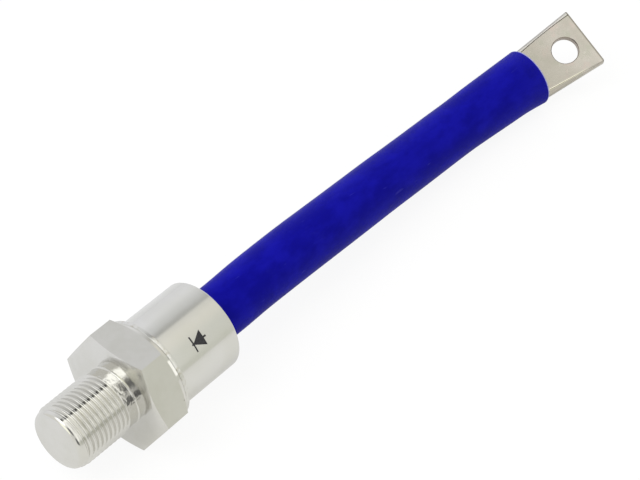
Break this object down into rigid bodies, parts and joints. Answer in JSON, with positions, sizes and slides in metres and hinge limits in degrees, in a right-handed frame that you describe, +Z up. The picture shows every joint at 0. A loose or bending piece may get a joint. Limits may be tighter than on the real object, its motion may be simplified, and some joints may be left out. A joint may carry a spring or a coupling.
{
  "type": "stud rectifier diode",
  "caption": "Stud-mounted power rectifier diode with a hexagonal base, a round metal cap and a thick insulated lead that ends in a flat lug.",
  "frame": {"origin": "on the surface that the diode lies on, under the middle of its metal body and terminal tube; the stud's axis runs 16 mm above it", "axes": "+X along the stud's axis, from the stud's tip towards the lead; +Z up, square to the hexagon flat that it lies on; +Y to the side"},
  "size_m": [0.2311, 0.037, 0.032],
  "materials": {
    "nickel_plate": "bright nickel plate over turned copper",
    "cap_plate": "satin nickel plate over drawn steel",
    "plain_steel": "turned or stamped, unplated",
    "spring_steel": "hardened and blued",
    "seal_alloy": "dull grey sealing alloy",
    "seal_glass": "fused sealing glass",
    "copper": "bare turned copper",
    "copper_rope": "stranded fine copper wire",
    "silver": "soft silver foil",
    "molybdenum": "lapped molybdenum",
    "silicon": "polished silicon",
    "edge_rubber": "cast silicone rubber",
    "insulator": "mica and moulded insulator",
    "blue_silicone": "matte silicone rubber with a faint sheen",
    "tinned_copper": "satin tin plate over pressed copper"
  },
  "bodies": {
    "root": {"stud_base": "nickel_plate", "weld_ring": "plain_steel", "cap_shell": "cap_plate", "seal_eyelet": "seal_alloy", "glass_seal": "seal_glass", "terminal_tube": "copper", "spring_housing": "plain_steel", "silver_foil": "silver", "lower_moly_disc": "molybdenum", "silicon_wafer": "silicon", "edge_coating": "edge_rubber", "upper_moly_disc": "molybdenum", "contact_stamp": "copper", "insulating_washer": "insulator", "insulating_sleeve": "insulator", "thrust_washer": "plain_steel", "disc_spring_1": "spring_steel", "disc_spring_2": "spring_steel", "disc_spring_3": "spring_steel", "retaining_ring": "spring_steel", "inner_lead": "copper_rope", "lead_rope": "copper_rope", "lead_sleeve": "blue_silicone", "lug": "tinned_copper"}
  },
  "joints": []
}
